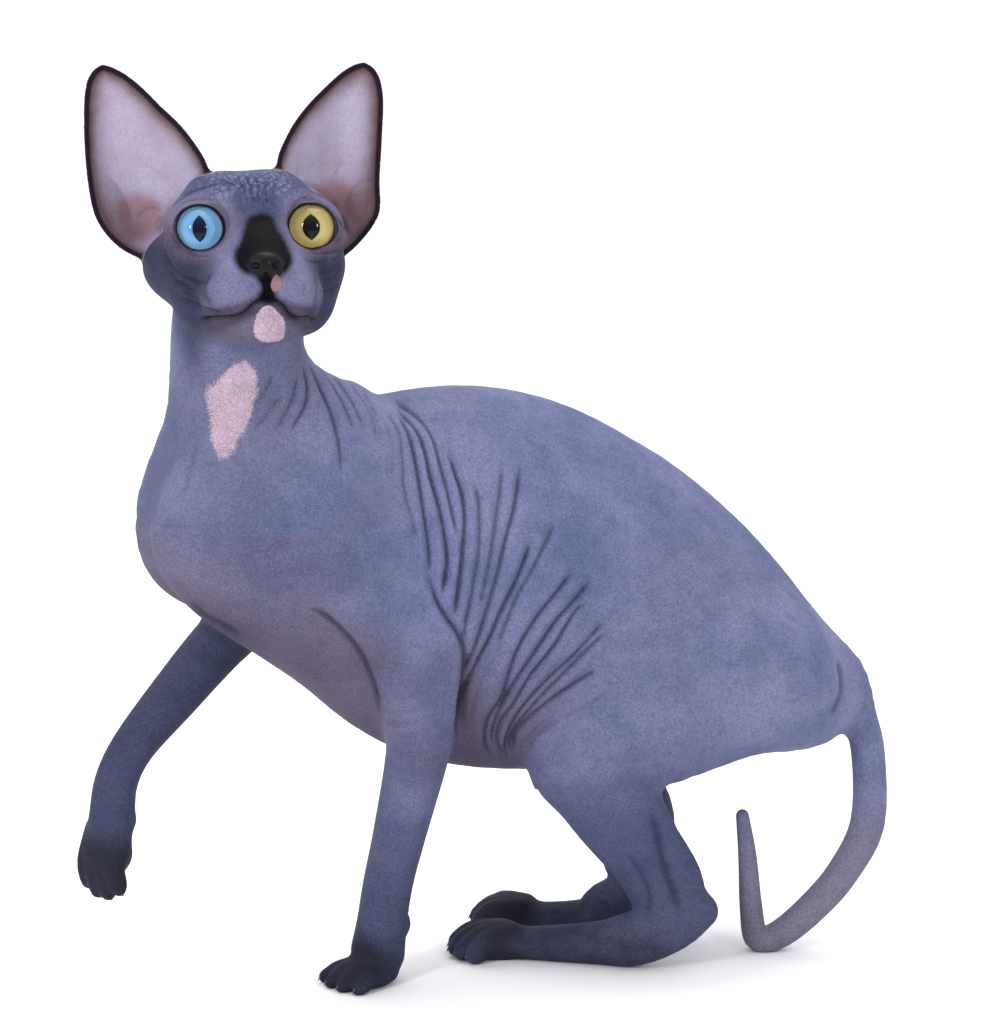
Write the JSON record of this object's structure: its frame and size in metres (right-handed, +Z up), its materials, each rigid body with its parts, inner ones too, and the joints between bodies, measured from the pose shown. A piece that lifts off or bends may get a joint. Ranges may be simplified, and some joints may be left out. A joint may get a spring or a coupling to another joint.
{
  "type": "sphynx cat, life-size still model",
  "caption": "Life-size still model of a hairless sphynx cat, half crouched with one forepaw raised and its tail on the floor.",
  "frame": {"origin": "middle of the underside, on the floor", "axes": "+Z up, +X from the chest toward the tail, -Y toward the cat's left"},
  "size_m": [0.3648, 0.2218, 0.4118],
  "materials": {
    "skin": "velvety matt",
    "ear_skin": "thin matt skin",
    "eye_blue": "wet gloss",
    "eye_gold": "wet gloss"
  },
  "bodies": {
    "root": {"head": "skin", "neck": "skin", "chest": "skin", "belly": "skin", "rump": "skin", "upper_arm_left": "skin", "forearm_left": "skin", "forepaw_left": "skin", "upper_arm_right": "skin", "forearm_right": "skin", "forepaw_right": "skin", "thigh_left": "skin", "shank_left": "skin", "hindfoot_left": "skin", "thigh_right": "skin", "shank_right": "skin", "hindfoot_right": "skin", "tail_root": "skin", "tail_middle": "skin", "tail_bend": "skin", "tail_tip": "skin", "ear_left": "ear_skin", "ear_right": "ear_skin", "eye_left": "eye_gold", "eye_right": "eye_blue"}
  },
  "joints": []
}
